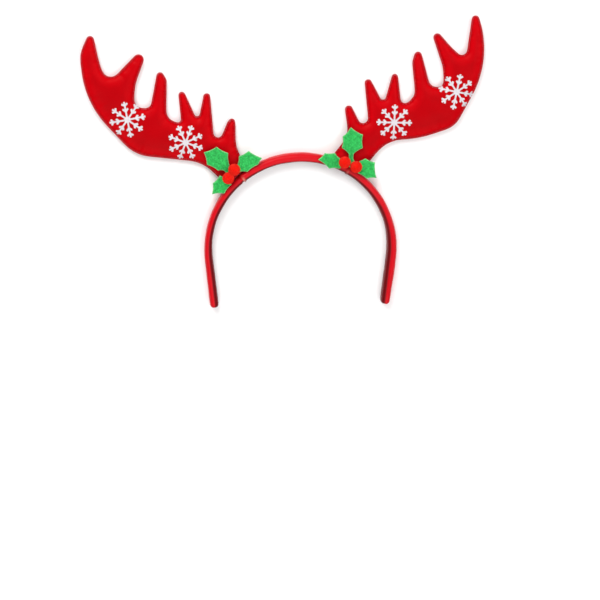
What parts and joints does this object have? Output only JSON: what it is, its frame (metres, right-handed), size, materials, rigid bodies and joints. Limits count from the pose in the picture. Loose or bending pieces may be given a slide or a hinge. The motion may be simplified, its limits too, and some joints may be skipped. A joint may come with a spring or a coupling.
{
  "type": "reindeer antler headband",
  "caption": "Padded satin headband with stuffed flat reindeer antlers, white snowflakes, felt holly sprigs and pompom berries.",
  "frame": {"origin": "on the rest face, under the middle of the band at the top of its arch", "axes": "+X across the head to the viewer's right, +Y from the open end of the band to the antler tips, +Z out of the front; the headband lies on its back"},
  "size_m": [0.3234, 0.2369, 0.0215],
  "materials": {
    "red_satin": "satin",
    "white_print": "matte glitter",
    "green_felt": "matte",
    "red_pompom": "fuzzy"
  },
  "bodies": {
    "root": {"band": "red_satin", "antler_left": "red_satin", "antler_right": "red_satin", "snowflake_left_outer": "white_print", "snowflake_left_inner": "white_print", "snowflake_right_outer": "white_print", "snowflake_right_inner": "white_print", "holly_left": "green_felt", "holly_right": "green_felt", "berry_left_upper": "red_pompom", "berry_left_lower": "red_pompom", "berry_right_inner": "red_pompom", "berry_right_outer": "red_pompom"}
  },
  "joints": []
}
